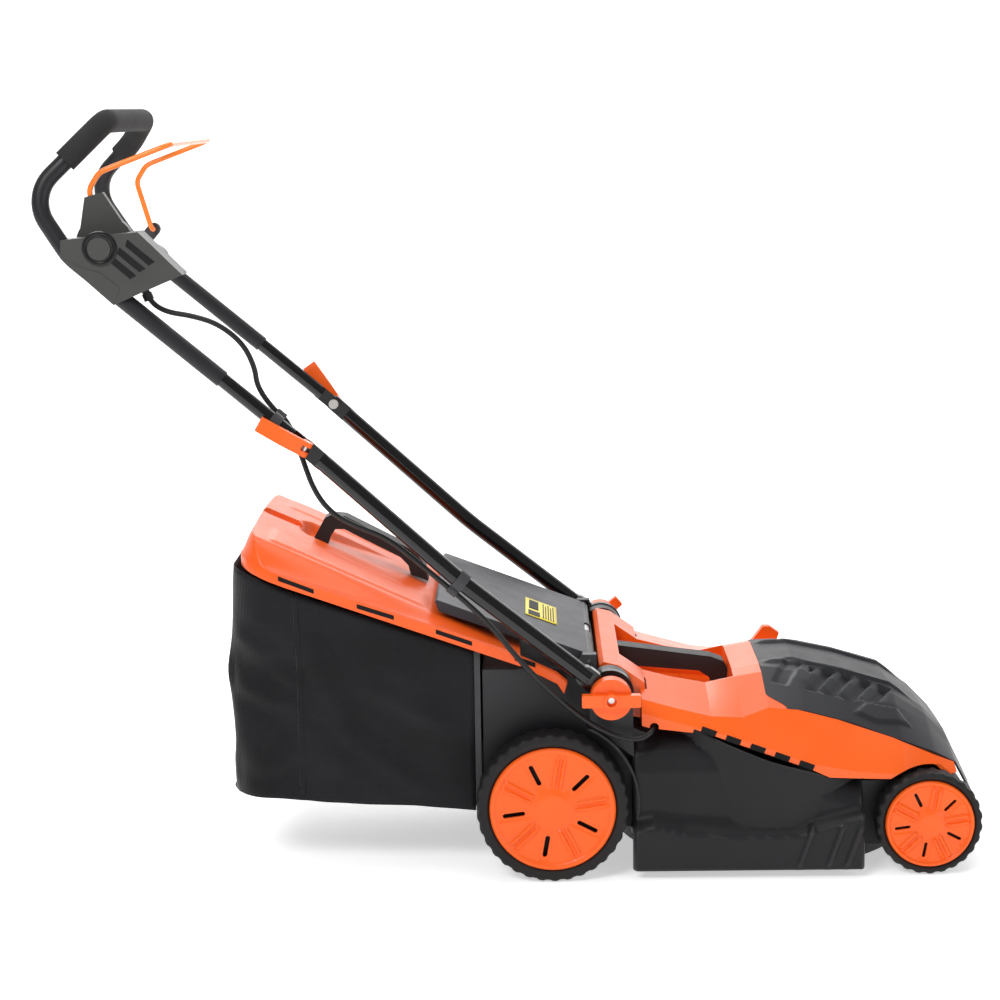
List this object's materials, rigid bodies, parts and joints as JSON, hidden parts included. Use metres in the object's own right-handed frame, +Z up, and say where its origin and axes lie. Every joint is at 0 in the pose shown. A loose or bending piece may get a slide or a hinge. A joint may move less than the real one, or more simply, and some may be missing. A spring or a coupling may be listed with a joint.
{
  "type": "push lawn mower",
  "caption": "Corded electric push lawn mower with rotary blade, height-adjustable axles, folding handle, switch bail and lift-off fabric grass box with rigid lid.",
  "frame": {"origin": "on the ground, straight below the centre of the rear axle", "axes": "+X forward, +Y to the mower's left, +Z up"},
  "size_m": [1.2089, 0.48, 1.007],
  "materials": {
    "deck_black": "satin black moulded polypropylene",
    "cowl_orange": "satin orange moulded ABS",
    "hood_grey": "dark grey moulded ABS",
    "grip_black": "soft-touch black",
    "zinc": "zinc plated",
    "gloss_black_plastic": "gloss black moulded plastic",
    "motor_steel": "grey painted steel laminations",
    "bearing_steel": "ground bearing steel",
    "spring_steel": "spring wire",
    "cast_alloy": "cast alloy",
    "blade_steel": "hardened steel with a ground edge",
    "wheel_black": "black tread plastic",
    "cap_orange": "satin orange",
    "lever_orange": "orange grip on a steel strip",
    "knob_orange": "orange moulded knob",
    "lid_orange": "orange moulded lid",
    "bail_orange": "orange plastic-coated steel rod",
    "flap_grey": "dark blue-grey moulded plastic",
    "gloss_black_paint": "gloss black powder coat",
    "matt_black_paint": "matt dark grey powder coat",
    "foam": "closed-cell foam",
    "switch_grey": "warm grey moulded plastic",
    "cable_rubber": "rubber sheathed cable",
    "bag_fabric": "black coated woven polyester"
  },
  "bodies": {
    "chassis": {"deck": "deck_black", "cowl": "cowl_orange", "hood": "hood_grey", "carry_handle": "grip_black", "knob_bolts": "zinc", "angle_discs": "gloss_black_plastic", "motor_stator": "motor_steel", "motor_bearings": "bearing_steel", "flap_pin": "zinc", "flap_spring": "spring_steel"},
    "rotor_body": {"rotor": "bearing_steel", "cooling_fan": "deck_black", "blade_adapter": "cast_alloy", "blade": "blade_steel", "blade_bolt": "zinc"},
    "rear_axle_body": {"rear_axle": "zinc", "rear_axle_nuts": "zinc"},
    "front_axle_body": {"front_axle": "zinc", "front_axle_nuts": "zinc"},
    "rear_wheel_right_body": {"rear_wheel_right": "wheel_black", "rear_cap_right": "cap_orange"},
    "rear_wheel_left_body": {"rear_wheel_left": "wheel_black", "rear_cap_left": "cap_orange"},
    "front_wheel_right_body": {"front_wheel_right": "wheel_black", "front_cap_right": "cap_orange"},
    "front_wheel_left_body": {"front_wheel_left": "wheel_black", "front_cap_left": "cap_orange"},
    "link_rod_body": {"link_rod": "zinc"},
    "height_lever_body": {"height_lever": "lever_orange"},
    "flap_body": {"rear_flap": "flap_grey"},
    "lower_handle": {"lower_tube_right": "gloss_black_paint", "lower_tube_left": "gloss_black_paint", "cable_clip_lower": "deck_black", "cable_lower": "cable_rubber"},
    "upper_handle": {"handle_tube": "matt_black_paint", "mid_tubes": "gloss_black_paint", "foam_grip": "foam", "switch_box": "switch_grey", "switch_cover": "switch_grey", "microswitch": "deck_black", "cable_gland": "cable_rubber", "mains_inlet": "deck_black", "bail_bracket": "deck_black", "cam_bolts": "zinc", "cable_clip_upper": "deck_black", "button_spring": "spring_steel", "cable_upper": "cable_rubber", "cable_middle": "cable_rubber"},
    "knob_right_body": {"knob_right": "knob_orange"},
    "knob_left_body": {"knob_left": "knob_orange"},
    "cam_lever_right_body": {"cam_lever_right": "lever_orange"},
    "cam_lever_left_body": {"cam_lever_left": "lever_orange"},
    "lock_button_body": {"lock_button": "switch_grey"},
    "bail_body": {"bail": "bail_orange", "switch_hub": "switch_grey"},
    "grass_box": {"grass_lid": "lid_orange", "grass_bag": "bag_fabric", "bag_frame": "deck_black", "bag_handle": "grip_black"},
    "fill_flap_body": {"fill_flap": "lever_orange"}
  },
  "joints": [
    {"name": "rotor_spin", "type": "hinge", "parent": "chassis", "child": "rotor_body", "pos_m": [0.29, 0, 0.1], "axis": [0, 0, 1], "continuous": true},
    {"name": "rear_crank", "type": "hinge", "parent": "chassis", "child": "rear_axle_body", "pos_m": [0.044, 0, 0.075], "axis": [0, -1, 0], "range_deg": [0, 58]},
    {"name": "front_crank", "type": "hinge", "parent": "chassis", "child": "front_axle_body", "pos_m": [0.538, 0, 0.045], "axis": [0, -1, 0], "range_deg": [0, 58]},
    {"name": "link_turn", "type": "hinge", "parent": "rear_axle_body", "child": "link_rod_body", "pos_m": [0.05563, 0.153, 0.09599], "axis": [0, -1, 0], "range_deg": [-58, 0]},
    {"name": "height_lever_turn", "type": "hinge", "parent": "chassis", "child": "height_lever_body", "pos_m": [0.306, 0.18, 0.118], "axis": [0, 1, 0], "range_deg": [0, 34]},
    {"name": "rear_wheel_right_spin", "type": "hinge", "parent": "rear_axle_body", "child": "rear_wheel_right_body", "pos_m": [0, -0.197, 0.1], "axis": [0, 1, 0], "continuous": true},
    {"name": "rear_wheel_left_spin", "type": "hinge", "parent": "rear_axle_body", "child": "rear_wheel_left_body", "pos_m": [0, 0.197, 0.1], "axis": [0, 1, 0], "continuous": true},
    {"name": "front_wheel_right_spin", "type": "hinge", "parent": "front_axle_body", "child": "front_wheel_right_body", "pos_m": [0.494, -0.189, 0.07], "axis": [0, 1, 0], "continuous": true},
    {"name": "front_wheel_left_spin", "type": "hinge", "parent": "front_axle_body", "child": "front_wheel_left_body", "pos_m": [0.494, 0.189, 0.07], "axis": [0, 1, 0], "continuous": true},
    {"name": "flap_hinge", "type": "hinge", "parent": "chassis", "child": "flap_body", "pos_m": [0.05, 0, 0.285], "axis": [0, 1, 0], "range_deg": [0, 60], "stiffness_Nm_per_rad": 0.3, "springref_deg": -34.38, "deforming": ["flap_spring"]},
    {"name": "lower_fold", "type": "hinge", "parent": "chassis", "child": "lower_handle", "pos_m": [0.077, 0, 0.25], "axis": [0, 1, 0], "range_deg": [0, 110], "deforming": ["cable_lower"]},
    {"name": "upper_fold", "type": "hinge", "parent": "lower_handle", "child": "upper_handle", "pos_m": [-0.309, 0, 0.5805], "axis": [0, -1, 0], "range_deg": [0, 110], "deforming": ["cable_middle"]},
    {"name": "knob_right_turn", "type": "hinge", "parent": "chassis", "child": "knob_right_body", "pos_m": [0.077, -0.225, 0.25], "axis": [0, -1, 0], "continuous": true},
    {"name": "knob_left_turn", "type": "hinge", "parent": "chassis", "child": "knob_left_body", "pos_m": [0.077, 0.225, 0.25], "axis": [0, 1, 0], "continuous": true},
    {"name": "cam_lever_right_open", "type": "hinge", "parent": "upper_handle", "child": "cam_lever_right_body", "pos_m": [-0.309, -0.2146, 0.5805], "axis": [0.5086, 0, 0.861], "range_deg": [0, 100]},
    {"name": "cam_lever_left_open", "type": "hinge", "parent": "upper_handle", "child": "cam_lever_left_body", "pos_m": [-0.309, 0.2146, 0.5805], "axis": [-0.8248, 0, -0.5654], "range_deg": [0, 100]},
    {"name": "lock_button_press", "type": "slide", "parent": "upper_handle", "child": "lock_button_body", "axis": [0, 1, 0], "range_m": [0, 0.005], "stiffness_N_per_m": 400, "springref_m": -0.003, "deforming": ["button_spring"]},
    {"name": "bail_pull", "type": "hinge", "parent": "upper_handle", "child": "bail_body", "pos_m": [-0.558, 0, 0.838], "axis": [0, -1, 0], "range_deg": [0, 25], "stiffness_Nm_per_rad": 1.5, "springref_deg": -22.92},
    {"name": "grass_box_lift", "type": "slide", "parent": "chassis", "child": "grass_box", "axis": [-0.9418, 0, 0.3362], "range_m": [0, 0.45]},
    {"name": "fill_flap_turn", "type": "hinge", "parent": "grass_box", "child": "fill_flap_body", "pos_m": [-0.344, 0, 0.428], "axis": [0, 1, 0], "range_deg": [0, 35]}
  ],
  "couplings": [
    {"joint": "front_crank", "follows": "rear_crank", "ratio": 1},
    {"joint": "link_turn", "follows": "rear_crank", "ratio": -1},
    {"joint": "height_lever_turn", "follows": "rear_crank", "ratio": 0.586}
  ]
}
